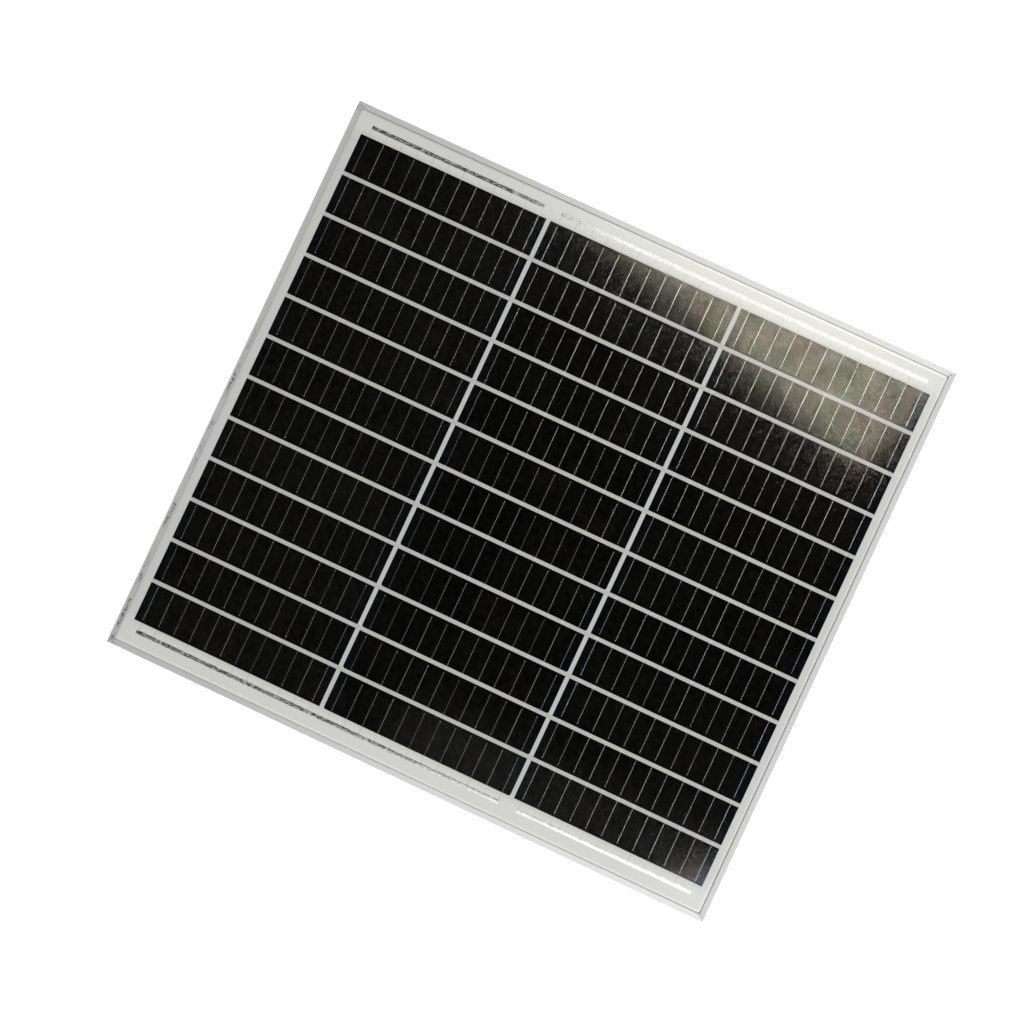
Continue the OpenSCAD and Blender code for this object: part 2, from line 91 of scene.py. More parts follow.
def row_top(r):
    """Top edge of row r, counted from 0."""
    return GRID_TOP - r * PITCH_Y


def ribbon_x(s, i):
    """Middle of ribbon i of string s."""
    return string_left(s) + (i + 0.5) * RIBBON_PITCH


# ------------------------------------------------------------------ node graphs


class Graph:
    """A material and short ways to add and join its nodes."""

    def __init__(self, name):
        self.material = bpy.data.materials.new(name)
        self.material.use_nodes = True
        self.tree = self.material.node_tree
        self.tree.nodes.clear()
        self.out = self.tree.nodes.new("ShaderNodeOutputMaterial")
        coordinates = self.tree.nodes.new("ShaderNodeTexCoord")
        self.place = coordinates.outputs["Object"]
        parts = self.add("ShaderNodeSeparateXYZ", Vector=self.place)
        self.x, self.y, self.z = parts.outputs[0], parts.outputs[1], parts.outputs[2]

    def add(self, kind, settings=None, **inputs):
        """A node with its settings and inputs; an input is a value or another socket."""
        made = self.tree.nodes.new(kind)
        for key, value in (settings or {}).items():
            setattr(made, key, value)
        for key, value in inputs.items():
            self.put(made.inputs[key.replace("_", " ")], value)
        return made

    def put(self, socket, value):
        if isinstance(value, bpy.types.NodeSocket):
            self.tree.links.new(value, socket)
        elif isinstance(value, tuple) and len(value) == 3 and socket.type == "RGBA":
            socket.default_value = (*value, 1.0)
        else:
            socket.default_value = value

    def math(self, operation, a, b=0.0, c=0.0, clamp=False):
        made = self.tree.nodes.new("ShaderNodeMath")
        made.operation = operation
        made.use_clamp = clamp
        for socket, value in zip(made.inputs, (a, b, c)):
            self.put(socket, value)
        return made.outputs[0]

    def minus(self, a, b):
        return self.math("SUBTRACT", a, b)

    def times(self, first, *others):
        """All the values multiplied together."""
        made = first
        for value in others:
            made = self.math("MULTIPLY", made, value)
        return made

    def apart(self, a, b):
        """How far apart two values are."""
        return self.math("ABSOLUTE", self.minus(a, b))

    def grow(self, tone, value, share):
        """Tone with a share of value added."""
        return self.math("MULTIPLY_ADD", value, share, tone)

    def noise(self, scale, detail=3.0, rough=0.5, stretch=None):
        """Noise from 0 to 1, scale in features per metre, stretched by a vector."""
        place = self.place
        if stretch:
            stretched = self.add("ShaderNodeVectorMath", {"operation": "MULTIPLY"})
            self.put(stretched.inputs[0], self.place)
            stretched.inputs[1].default_value = stretch
            place = stretched.outputs[0]
        made = self.add(
            "ShaderNodeTexNoise", Vector=place, Scale=scale, Detail=detail, Roughness=rough)
        return made.outputs[0]

    def scatter(self, scale):
        """Distance to the nearest of a scatter of points."""
        made = self.add("ShaderNodeTexVoronoi", Vector=self.place, Scale=scale)
        return made.outputs["Distance"]

    def ramp(self, value, low, high, to_low=0.0, to_high=1.0):
        """A smooth step of value between low and high."""
        made = self.tree.nodes.new("ShaderNodeMapRange")
        made.interpolation_type = "SMOOTHSTEP"
        for key, item in (
            ("Value", value), ("From Min", low), ("From Max", high),
            ("To Min", to_low), ("To Max", to_high)):
            self.put(made.inputs[key], item)
        return made.outputs[0]

    def mix(self, share, a, b):
        """Colour a where share is 0 and b where it is 1."""
        made = self.tree.nodes.new("ShaderNodeMix")
        made.data_type = "RGBA"
        self.put(made.inputs[0], share)
        self.put(made.inputs[6], a)
        self.put(made.inputs[7], b)
        return made.outputs[2]

    def scale_colour(self, colour, value):
        """A colour made lighter or darker by a number."""
        made = self.add("ShaderNodeVectorMath", {"operation": "SCALE"})
        self.put(made.inputs[0], colour)
        self.put(made.inputs["Scale"], value)
        return made.outputs[0]

    def bump(self, height, strength, distance):
        made = self.add("ShaderNodeBump", Height=height, Strength=strength, Distance=distance)
        return made.outputs[0]

    def surface(self, **inputs):
        """A Principled surface joined to the output."""
        made = self.add("ShaderNodeBsdfPrincipled", **inputs)
        self.tree.links.new(made.outputs[0], self.out.inputs[0])
        return made

    def repeat(self, value, start, pitch):
        """Value counted from start, wrapped into 0 to pitch."""
        return self.math("FLOORED_MODULO", self.minus(value, start), pitch)

    def index(self, value, start, pitch):
        """Which repeat of pitch a value lies in."""
        return self.math("FLOOR", self.math("DIVIDE", self.minus(value, start), pitch))

    def across_the_cell(self):
        """How far right of its string's left edge a point lies."""
        return self.repeat(self.x, string_left(0), PITCH_X)

    def up_the_cell(self):
        """How far above its row's lower edge a point lies."""
        return self.repeat(self.y, GRID_BOTTOM, PITCH_Y)

    def row(self):
        """Which row a point lies in, counted from the bottom."""
        return self.index(self.y, GRID_BOTTOM, PITCH_Y)

    def random(self, a, b):
        """A fixed random number from 0 to 1 for each pair of numbers."""
        joined = self.add("ShaderNodeCombineXYZ", X=a, Y=b)
        return self.add(
            "ShaderNodeTexWhiteNoise", {"noise_dimensions": "2D"},
            Vector=joined.outputs[0]).outputs[0]


# ------------------------------------------------------------------ materials


def lip_stains(g, from_left):
    """Dark blotches in a line along the lower half of the left lip."""
    stain_middle = 3.5 * MM
    line = g.ramp(g.apart(from_left, stain_middle), 1.9 * MM, 1.1 * MM)
    lower_half = g.ramp(g.y, 70 * MM, 0.0)
    patches = g.ramp(g.noise(34.0, 3.0, 0.6, (3.0, 1.0, 1.0)), 0.45, 0.56)
    spots = g.ramp(g.noise(520.0, 3.0, 0.6), 0.44, 0.56)
    return g.times(line, lower_half, patches, spots)


def lip_fleck(g):
    """One dark mark beside the top right corner."""
    off_x = g.minus(g.x, bound_high.x - 5.2 * MM)
    off_y = g.minus(g.y, bound_high.y - 3.6 * MM)
    squares = g.math("ADD", g.times(off_x, off_x), g.times(off_y, off_y))
    return g.ramp(g.math("SQRT", squares), 1.2 * MM, 0.5 * MM)


def aluminium(name, along, shade):
    """Anodised extrusion: fine die lines, a soft grain, smears at the joints, a few stains and, on
    the top and bottom members, painted shade towards the left.
    """
    g = Graph(name)
    lengthwise, crosswise = 0.012, 1.0
    lit_x, shaded_x, left_shade_share = 0.05, -0.22, 0.865
    along_y = (crosswise, lengthwise, crosswise)
    along_x = (lengthwise, crosswise, crosswise)
    lines = g.noise(2600.0, 4.0, 0.6, along_y if along == "y" else along_x)
    grain = g.noise(9000.0, 2.0, 0.5)
    cloud = g.noise(14.0, 3.0, 0.5)
    specks = g.ramp(g.scatter(260.0), 0.06, 0.02)
    from_end_x = g.minus(bound_high.x, g.math("ABSOLUTE", g.x))
    from_end_y = g.minus(bound_high.y, g.math("ABSOLUTE", g.y))
    from_left = g.minus(g.x, bound_low.x)
    near_joint = g.ramp(g.math("MAXIMUM", from_end_x, from_end_y), 14 * MM, 5 * MM)
    smears = g.times(near_joint, g.ramp(g.noise(420.0, 4.0, 0.7), 0.50, 0.64))
    smears = g.times(smears, g.ramp(from_left, 120 * MM, 0.0, 0.15, 0.55))
    seam = g.times(near_joint, g.ramp(g.apart(from_end_x, from_end_y), 0.5 * MM, 0.15 * MM))
    on_lip = g.ramp(g.z, bound_high.z - 2.0 * MM, bound_high.z - 1.0 * MM)
    tone = g.grow(0.93, lines, 0.10)
    tone = g.grow(tone, cloud, 0.06)
    tone = g.grow(tone, specks, -0.22)
    tone = g.minus(tone, smears)
    tone = g.grow(tone, seam, -0.16)
    tone = g.grow(tone, g.times(lip_stains(g, from_left), on_lip), -0.85)
    tone = g.grow(tone, g.times(lip_fleck(g), on_lip), -0.7)
    tone = g.math("MAXIMUM", tone, 0.10)
    # Painted shade: the top and bottom members darken towards the left, where the light falls off.
    if along == "x":
        tone = g.times(tone, g.ramp(g.x, lit_x, shaded_x, 1.0, left_shade_share))
    edge = g.ramp(g.math("MINIMUM", from_end_x, from_end_y), 0.6 * MM, 0.0)
    tone = g.grow(tone, edge, 0.04)
    g.surface(
        Base_Color=g.scale_colour((shade, shade * 1.01, shade * 0.99), tone),
        Metallic=0.35,
        Roughness=g.grow(0.40, cloud, 0.12),
        Normal=g.bump(g.grow(lines, grain, 0.35), 0.25, 0.05 * MM))
    return g.material


def plain_metal(name, colour, rough, scale):
    """Metal with a mottled tone and a fine grain."""
    g = Graph(name)
    cloud = g.noise(scale, 4.0, 0.6)
    tone = g.grow(0.82, cloud, 0.3)
    g.surface(
        Base_Color=g.scale_colour(colour, tone),
        Metallic=1.0,
        Roughness=g.grow(rough, cloud, 0.2),
        Normal=g.bump(g.noise(scale * 12, 2.0), 0.2, 0.04 * MM))
    return g.material


def rubbery(name, colour, rough, scale, bump_mm):
    """Silicone or rubber: a slightly lumpy skin with dust in it."""
    g = Graph(name)
    lumps = g.noise(scale, 4.0, 0.6)
    fine = g.noise(scale * 14, 2.0)
    tone = g.grow(g.grow(0.91, lumps, 0.18), fine, 0.06)
    g.surface(
        Base_Color=g.scale_colour(colour, tone),
        Roughness=g.grow(rough, fine, 0.2),
        Normal=g.bump(lumps, 0.5, bump_mm * MM))
    return g.material


def solar_glass():
    """Clear glass. From above the layers under it carry the shine; aslant, its outer face does."""
    g = Graph("solar_glass")
    outside = g.ramp(g.z, glass_high.z - 0.3 * MM, glass_high.z - 0.1 * MM)
    texture = g.scatter(900.0)
    smudge = g.noise(9.0, 4.0, 0.6)
    fresnel = g.add("ShaderNodeFresnel", IOR=1.45)
    bump = g.bump(texture, 0.06, 0.05 * MM)
    g.put(fresnel.inputs["Normal"], bump)
    gloss = g.add(
        "ShaderNodeBsdfGlossy",
        Color=(1.0, 1.0, 1.0),
        Roughness=g.grow(0.05, smudge, 0.05),
        Normal=bump)
    clear = g.add("ShaderNodeBsdfTransparent", Color=(0.985, 0.99, 0.985))
    mixed = g.add("ShaderNodeMixShader")
    head_on = 0.045
    aslant = g.math("SUBTRACT", fresnel.outputs[0], head_on, clamp=True)
    g.put(mixed.inputs[0], g.times(aslant, outside))
    g.put(mixed.inputs[1], clear.outputs[0])
    g.put(mixed.inputs[2], gloss.outputs[0])
    g.tree.links.new(mixed.outputs[0], g.out.inputs[0])
    return g.material


def clear_film():
    """The film in front of the cells, which nearly vanishes once it is laminated."""
    g = Graph("clear_film")
    haze = g.noise(60.0, 3.0)
    tint = g.scale_colour((1.0, 1.0, 0.995), g.grow(0.98, haze, 0.015))
    clear = g.add("ShaderNodeBsdfTransparent", Color=tint)
    g.tree.links.new(clear.outputs[0], g.out.inputs[0])
    return g.material


def white_film():
    """The white film behind the cells, seen in the gaps and margins, with painted shade in the gaps
    and side margins and painted light beside the lips.
    """
    g = Graph("white_film")
    cloud = g.noise(7.0, 3.0, 0.5)
    weave = g.noise(1400.0, 2.0)
    fade = 9 * MM
    lit_from, lit_to = 9.2 * MM, 7.2 * MM
    # Painted shade: the film in the side margins is darker, darker still in the gaps between cells,
    # and darkest in the gaps between rows.
    beside = g.times(
        g.ramp(g.y, GRID_TOP + fade, GRID_TOP - fade),
        g.ramp(g.y, GRID_BOTTOM - fade, GRID_BOTTOM + fade))
    between = g.times(
        beside, g.math("LESS_THAN", g.math("ABSOLUTE", g.x), -string_left(0)))
    row_gap_shade = g.times(between, g.math("GREATER_THAN", g.up_the_cell(), CELL_H))
    tone = g.grow(g.grow(0.97, cloud, 0.04), weave, 0.03)
    # Painted light: the film beside the right, bottom and top lips is brighter, filling in the
    # lips' shadow; beside the top lip it grows towards the right.
    painted_light_right = g.ramp(g.minus(bound_high.x, g.x), lit_from, lit_to, 0.0, 0.50)
    painted_light_bottom = g.ramp(g.minus(g.y, bound_low.y), lit_from, lit_to, 0.0, 0.38)
    painted_light_top = g.times(
        g.ramp(g.minus(bound_high.y, g.y), lit_from, lit_to),
        g.ramp(g.x, -0.15, 0.15, 0.0, 0.50))
    painted_lip_light = g.math("MAXIMUM", painted_light_right, g.math("MAXIMUM", painted_light_bottom, painted_light_top))
    # Applies the painted shade of the margins and gaps and the painted light beside the lips.
    for mask, share in ((beside, -0.12), (between, -0.11), (row_gap_shade, -0.10), (painted_lip_light, 1.0)):
        tone = g.times(tone, g.grow(1.0, mask, share))
    g.surface(
        Base_Color=g.scale_colour((0.62, 0.62, 0.605), tone),
        Roughness=0.14,
        Specular_IOR_Level=0.40,
        Normal=g.bump(weave, 0.05, 0.02 * MM))
    return g.material


def backsheet_film():
    """The back of the laminate: a satin white film that shows the cells' print faintly."""
    g = Graph("backsheet_film")
    cloud = g.noise(6.0, 4.0, 0.55)
    orange_peel = g.noise(300.0, 3.0, 0.6)
    fine = g.noise(2500.0, 2.0)
    over_cell = g.times(
        g.math("LESS_THAN", g.across_the_cell(), CELL_W),
        g.math("LESS_THAN", g.up_the_cell(), CELL_H))
    tone = g.grow(g.grow(0.955, cloud, 0.05), over_cell, -0.012)
    height = g.grow(g.grow(orange_peel, fine, 0.2), over_cell, 0.5)
    g.surface(
        Base_Color=g.scale_colour((0.84, 0.84, 0.82), tone),
        Roughness=g.grow(0.38, orange_peel, 0.12),
        Normal=g.bump(height, 0.35, 0.08 * MM))
    return g.material


def silicon():
    """Coated silicon: near black, with fine silver fingers and bluish outer strips."""
    finger_pitch = 1.3 * MM
    finger_w = 0.05 * MM
    print_w = 0.24 * MM
    side_margin, end_margin = 1.0 * MM, 0.8 * MM
    g = Graph("silicon_cell")
    u, v = g.across_the_cell(), g.up_the_cell()
    from_right = g.minus(CELL_W, u)
    from_side = g.math("MINIMUM", u, from_right)
    from_end = g.math("MINIMUM", v, g.minus(CELL_H, v))
    chance = g.random(g.index(g.x, string_left(0), PITCH_X), g.row())
    mottle = g.minus(g.noise(160.0, 3.0, 0.6), 0.5)
    cloud = g.noise(22.0, 2.0)
    tone = g.grow(0.7, chance, 0.5)
    tone = g.grow(tone, mottle, 4.0)
    tone = g.grow(tone, g.minus(cloud, 0.5), 0.8)
    tone = g.math("MAXIMUM", tone, 0.15)
    strip = g.ramp(from_side, RIBBON_PITCH * 0.62, RIBBON_PITCH * 0.35)
    base = g.mix(strip, (0.0019, 0.0019, 0.0018), (0.0021, 0.0023, 0.0040))
    base = g.mix(g.ramp(g.noise(31.0, 2.0), 0.5, 0.75), base, (0.0030, 0.0026, 0.0018))
    inside = g.times(
        g.math("GREATER_THAN", from_side, side_margin),
        g.math("GREATER_THAN", from_end, end_margin))
    finger = g.math("LESS_THAN", g.repeat(g.y, 0.0, finger_pitch), finger_w)
    from_busbar = g.apart(g.repeat(u, 0.0, RIBBON_PITCH), RIBBON_PITCH / 2)
    busbar = g.math("LESS_THAN", from_busbar, print_w / 2)
    silver = g.times(g.math("MAXIMUM", finger, busbar), inside)
    crystal = g.minus(g.noise(320.0, 2.0, 0.6), 0.5)
    patch = g.minus(g.noise(45.0, 2.0, 0.5), 0.5)
    gloss = g.grow(g.grow(g.grow(0.53, crystal, 0.22), mottle, 0.55), patch, 0.5)
    tint = g.mix(
        g.ramp(g.noise(24.0, 3.0, 0.5), 0.40, 0.60), (1.0, 0.88, 0.78), (0.97, 0.96, 0.77))
    tint = g.mix(g.ramp(g.noise(70.0, 3.0, 0.6), 0.52, 0.66), tint, (0.87, 0.93, 0.87))
    right_strip = g.times(
        g.ramp(from_right, RIBBON_PITCH * 0.56, RIBBON_PITCH * 0.44),
        g.math("GREATER_THAN", g.x, string_left(STRINGS - 1)))
    g.surface(
        Base_Color=g.mix(silver, g.scale_colour(base, tone), (0.020, 0.020, 0.021)),
        Roughness=g.grow(0.075, cloud, 0.02),
        Specular_IOR_Level=gloss,
        Specular_Tint=g.mix(g.times(right_strip, 0.85), tint, (0.80, 0.86, 1.0)))
    return g.material


def tabbing():
    """Tinned copper ribbon: bright over a cell, dull over the white film, each a little its own."""
    g = Graph("tabbing_ribbon")
    column = g.index(g.x, string_left(0), RIBBON_PITCH)
    chance = g.random(column, g.row())
    steady = g.random(column, 3.0)
    wander = g.minus(g.noise(60.0, 2.0, 0.5), 0.5)
    past_grid = g.math(
        "MAXIMUM", g.math("GREATER_THAN", g.y, GRID_TOP), g.math("LESS_THAN", g.y, GRID_BOTTOM))
    bare = g.math("MAXIMUM", past_grid, g.math("GREATER_THAN", g.up_the_cell(), CELL_H))
    tone = g.grow(g.grow(0.6, chance, 0.35), steady, 0.3)
    tone = g.grow(g.grow(tone, wander, 0.2), bare, 1.3)
    g.surface(
        Base_Color=g.scale_colour(
            g.mix(bare, (0.255, 0.262, 0.285), (0.262, 0.260, 0.254)), tone),
        Metallic=g.grow(0.93, bare, -0.75),
        Roughness=g.grow(0.22, chance, 0.05),
        Normal=g.bump(g.noise(2200.0, 3.0), 0.02, 0.004 * MM))
    return g.material


def bus_tin(name):
    """Crinkled tinned ribbon with a painted reflection: dark towards the left and bright towards
    the right, speckled with painted glints along the crinkles.
    """
    glint_grey = (0.34, 0.34, 0.33)
    slant = -45.0
    # Spans along x where the painted reflection turns the tin from dark to bright.
    upper_lit_span, lower_lit_span = (-0.165, -0.010), (-0.125, 0.240)
    g = Graph(name)
    crinkle = g.noise(540.0, 3.0, 0.65, (1.0, 1.4, 1.0))
    patches = g.noise(60.0, 3.0, 0.6, (1.0, 0.2, 1.0))
    top = g.math("GREATER_THAN", g.y, 0.0)
    up = g.minus(g.y, LOWER_BUS_Y)
    # Painted reflection: the share of bright tin rises from left to right, on a slant on the lower
    # bus.
    reflection_share = g.mix(
        top,
        g.ramp(g.grow(g.x, up, slant), *lower_lit_span),
        g.ramp(g.x, *upper_lit_span))
    # The painted reflection is weaker towards the upper side of the lower bus.
    upper_edge = g.times(g.ramp(up, 0.8 * MM, 2.0 * MM), g.minus(1.0, top))
    reflection_share = g.times(reflection_share, g.grow(1.0, upper_edge, -0.4))
    # Painted glints: the crinkles pick out lighter specks, and grey patches break up the dark part.
    glints = g.ramp(crinkle, 0.47, 0.56)
    dark = g.mix(glints, (0.010, 0.010, 0.011), glint_grey)
    dark = g.mix(g.ramp(patches, 0.64, 0.70), dark, glint_grey)
    light = g.mix(glints, (0.66, 0.66, 0.64), (0.90, 0.89, 0.86))
    g.surface(
        Base_Color=g.mix(reflection_share, dark, light),
        Metallic=0.15,
        Roughness=g.grow(0.3, crinkle, 0.3),
        Normal=g.bump(crinkle, 0.5, 0.12 * MM))
    return g.material


def moulded(name, colour, rough, peel=1600.0):
    """Moulded plastic: a fine even spark-eroded texture and faint flow marks."""
    g = Graph(name)
    grain = g.noise(peel, 3.0, 0.55)
    flow = g.noise(26.0, 3.0, 0.5, (1.0, 0.4, 1.0))
    dust = g.ramp(g.noise(180.0, 5.0, 0.7), 0.6, 0.8)
    plastic = g.scale_colour(colour, g.grow(0.85, flow, 0.3))
    g.surface(
        Base_Color=g.mix(g.times(dust, 0.05), plastic, (0.45, 0.44, 0.42)),
        Roughness=g.grow(rough, grain, 0.2),
        Normal=g.bump(grain, 0.35, 0.05 * MM))
    return g.material


def diode_epoxy():
    """Black diode bodies with a silver band at one end, on tinned wires."""
    spacing = 17 * MM
    body_r = 2.6 * MM
    body_reach = 4.7 * MM
    wire_reach = 0.8 * MM
    band_off, band_reach = 3.2 * MM, 0.6 * MM
    low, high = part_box("bypass_diodes")
    middle = (low.x + high.x) / 2
    g = Graph("diode_epoxy")
    along = g.minus(g.repeat(g.x, middle, spacing), spacing / 2)
    off_y = g.minus(g.y, low.y + body_r)
    off_z = g.minus(g.z, (low.z + high.z) / 2)
    from_wire = g.math("SQRT", g.math("ADD", g.times(off_y, off_y), g.times(off_z, off_z)))
    body = g.times(
        g.math("LESS_THAN", g.math("ABSOLUTE", along), body_reach),
        g.math("GREATER_THAN", from_wire, wire_reach))
    band = g.math("LESS_THAN", g.apart(along, band_off), band_reach)
    grain = g.noise(900.0, 3.0)
    epoxy = g.mix(band, (0.012, 0.012, 0.013), (0.45, 0.45, 0.45))
    g.surface(
        Base_Color=g.scale_colour(
            g.mix(body, (0.62, 0.62, 0.62), epoxy), g.grow(0.85, grain, 0.3)),
        Metallic=g.minus(1.0, body),
        Roughness=0.38,
        Normal=g.bump(grain, 0.2, 0.04 * MM))
    return g.material


def label_print(low, high):
    """A blank white label with a thin border and ruled lines."""
    border_in = 2.0 * MM
    line = 0.25 * MM
    row = 6.0 * MM
    column_in = 38 * MM
    g = Graph("label_print")
    to_side = g.math("MINIMUM", g.minus(g.x, low.x), g.minus(high.x, g.x))
    to_end = g.math("MINIMUM", g.minus(g.y, low.y), g.minus(high.y, g.y))
    to_edge = g.math("MINIMUM", to_side, to_end)
    border = g.math("LESS_THAN", g.apart(to_edge, border_in), line)
    inside = g.math("GREATER_THAN", to_edge, border_in)
    rule = g.math("LESS_THAN", g.repeat(g.y, low.y + border_in, row), line)
    column = g.math("LESS_THAN", g.apart(g.x, low.x + column_in), line / 2)
    ruled = g.times(inside, g.math("MAXIMUM", rule, column))
    fibre = g.noise(1200.0, 3.0)
    paper = g.scale_colour((0.80, 0.80, 0.79), g.grow(0.95, fibre, 0.08))
    g.surface(
        Base_Color=g.mix(g.math("MAXIMUM", border, ruled), paper, (0.06, 0.06, 0.06)),
        Roughness=g.grow(0.32, fibre, 0.1),
        Normal=g.bump(fibre, 0.15, 0.03 * MM))
    return g.material


def dress(names, material):
    """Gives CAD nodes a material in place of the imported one."""
    for name in names:
        mesh = nodes[name].data
        mesh.materials.clear()
        mesh.materials.append(material)


CELL_NODES = [f"cell_{s}_{r}" for s in range(1, STRINGS + 1) for r in range(1, ROWS + 1)]
BUS_NODES = [n for n in nodes if n.startswith("bus_ribbon")]

# The side members take a darker tone than the top and bottom members as painted shade; the
# extrusion itself is one finish.
dress(["frame_top", "frame_bottom"], aluminium("anodised_across", "x", 0.58))
dress(["frame_left", "frame_right"], aluminium("anodised_along", "y", 0.47))
dress(["corner_keys"], plain_metal("mill_aluminium", (0.60, 0.60, 0.62), 0.35, 90.0))
dress(["frame_sealant"], rubbery("frame_silicone", (0.86, 0.86, 0.85), 0.45, 160.0, 0.3))
dress(["front_glass"], solar_glass())
dress(["encapsulant_front"], clear_film())
dress(["encapsulant_back"], white_film())
dress(["backsheet"], backsheet_film())
dress(CELL_NODES, silicon())
dress(["tabbing_ribbons"], tabbing())
dress(BUS_NODES, bus_tin("bus_tin"))
dress(["junction_box_base"], moulded("box_black", (0.018, 0.018, 0.019), 0.42))
dress(["junction_box_lid"], moulded("lid_black", (0.020, 0.020, 0.021), 0.38, 1900.0))
dress(
    ["gland_nut_left", "gland_nut_right"],
    moulded("nut_black", (0.014, 0.014, 0.015), 0.3, 2400.0))
dress(
    ["lid_gasket", "gland_seals"],
    rubbery("gasket_rubber", (0.03, 0.03, 0.03), 0.5, 500.0, 0.1))
dress(["box_adhesive"], rubbery("box_silicone", (0.35, 0.35, 0.35), 0.4, 220.0, 0.3))
dress(["terminals"], plain_metal("terminal_brass", (0.80, 0.62, 0.30), 0.22, 240.0))
dress(["bypass_diodes"], diode_epoxy())

for clear_node in ("front_glass", "encapsulant_front"):
    nodes[clear_node].visible_shadow = False

# ------------------------------------------------------------------ small pieces


def piece(name, points, faces, material, body, smooth=True):
    """A mesh that moves with a body and takes the given material."""
    mesh = bpy.data.meshes.new(name)
    mesh.from_pydata(points, [], faces)
    mesh.validate()
    mesh.update()
    if smooth:
        mesh.polygons.foreach_set("use_smooth", [True] * len(mesh.polygons))
    mesh.materials.append(material)
    made = bpy.data.objects.new(name, mesh)
    bpy.context.scene.collection.objects.link(made)
    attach(made, body)
    return made


def crinkled_strip(name, low, high, body, material, seed):
    """A skin of tin over a bus ribbon: flat below, dented and creased above."""
    chance = random.Random(seed)
    step = 0.8 * MM
    across = 6
    thin, thick = 0.02 * MM, 0.16 * MM
    clear = 0.005 * MM
    at_rim = 0.25
    count = max(2, round((high.x - low.x) / step))

    def place(i, j, z):
        return (
            low.x + (high.x - low.x) * i / count,
            low.y + (high.y - low.y) * j / across,
            z)

    points = []
    for i in range(count + 1):
        crease = chance.random()
        for j in range(across + 1):
            rim = at_rim if j in (0, across) or i in (0, count) else 1.0
            lift = thin + (thick - thin) * rim * (0.5 * crease + 0.5 * chance.random())
            points.append(place(i, j, high.z + lift))
    for i in range(count + 1):
        for j in range(across + 1):
            points.append(place(i, j, high.z + clear))
    row = across + 1
    under = (count + 1) * row
    faces = []
    for i in range(count):
        for j in range(across):
            a = i * row + j
            b = under + a
            faces.append((a, a + row, a + row + 1, a + 1))
            faces.append((b, b + 1, b + row + 1, b + row))
    for i in range(count):
        a, b = i * row, i * row + across
        faces.append((a, under + a, under + a + row, a + row))
        faces.append((b, b + row, under + b + row, under + b))
    for j in range(across):
        a, b = j, count * row + j
        faces.append((a, a + 1, under + a + 1, under + a))
        faces.append((b, under + b, under + b + 1, b + 1))
    return piece(name, points, faces, material, body, smooth=False)


def bus_skins():
    """The crinkled tin over the four bus ribbons."""
    first_seed = 11
    skin = bus_tin("bus_skin")
    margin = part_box("bus_ribbon_top_left")[0].x - cell_low.x
    for number, name in enumerate(sorted(BUS_NODES)):
        low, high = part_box(name)
        if "top" in name:
            y0, y1 = high.y - BUS_W, high.y
        else:
            y0, y1 = low.y, low.y + BUS_W
        starts_with_string = name == "bus_ribbon_bottom_right"
        x0 = string_left(STRINGS - 1) + margin if starts_with_string else low.x
        crinkled_strip(
            name.replace("bus_ribbon", "bus_skin"),
            Vector((x0, y0, low.z)), Vector((high.x, y1, high.z)),
            "panel", skin, first_seed + number)


def solder_dots():
    """A small dome of solder at each ribbon's free end on a cell, and at its other end."""
    chance = random.Random(5)
    sides = 8
    rings = ((0.0, 1.0), (0.05 * MM, 0.8))
    dome = 0.09 * MM
    half_w, half_l = 0.38 * MM, 0.85 * MM
    free_in, tied_in = 3.6 * MM, 2.5 * MM
    tied_size = 0.75
    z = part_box("tabbing_ribbons")[1].z + 0.002 * MM
    points, faces = [], []

    def dot(x, y, size):
        rx = half_w * size * chance.uniform(0.85, 1.05)
        ry = half_l * size * chance.uniform(0.8, 1.2)
        start = len(points)
        for level, share in rings:
            for k in range(sides):
                a = 2 * math.pi * k / sides
                points.append(
                    (x + rx * share * math.cos(a), y + ry * share * math.sin(a), z + level))
        points.append((x, y, z + dome))
        points.append((x, y, z))
        peak, foot = start + 2 * sides, start + 2 * sides + 1
        for k in range(sides):
            m = (k + 1) % sides
            faces.append((start + k, start + m, start + sides + m, start + sides + k))
            faces.append((start + sides + k, start + sides + m, peak))
            faces.append((start + m, start + k, foot))

    for s in range(STRINGS):
        turned_over = s == 1
        for r in range(ROWS):
            above, below = row_top(r), row_top(r) - CELL_H
            y_free = above - free_in if turned_over else below + free_in
            y_tied = below + tied_in if turned_over else above - tied_in
            for i in range(RIBBONS):
                dot(ribbon_x(s, i), y_free, 1.0)
                dot(ribbon_x(s, i), y_tied, tied_size)
    g = Graph("solder")
    mottle = g.noise(900.0, 3.0)
    g.surface(
        Base_Color=g.scale_colour((0.20, 0.20, 0.20), g.grow(0.8, mottle, 0.3)),
        Metallic=0.9,
        Roughness=g.grow(0.25, mottle, 0.2),
        Normal=g.bump(mottle, 0.3, 0.03 * MM))
    return piece("solder_dots", points, faces, g.material, "panel")


def bead(name, path, section, material, seed, wobble):
    """A bead squeezed along a closed path; section gives outward and upward steps."""
    chance = random.Random(seed)
    points, faces = [], []
    count, sides = len(path), len(section)
    swell = 0.0
    for i, (x, y, nx, ny, z) in enumerate(path):
        swell = 0.7 * swell + 0.3 * chance.uniform(-1.0, 1.0)
        size = 1.0 + wobble * swell
        for out, up in section:
            points.append((x + nx * out * size, y + ny * out * size, z + up * size))
    for i in range(count):
        for k in range(sides):
            a, b = i * sides, ((i + 1) % count) * sides
            m = (k + 1) % sides
            faces.append((a + k, a + m, b + m, b + k))
    return piece(name, points, faces, material, "panel")


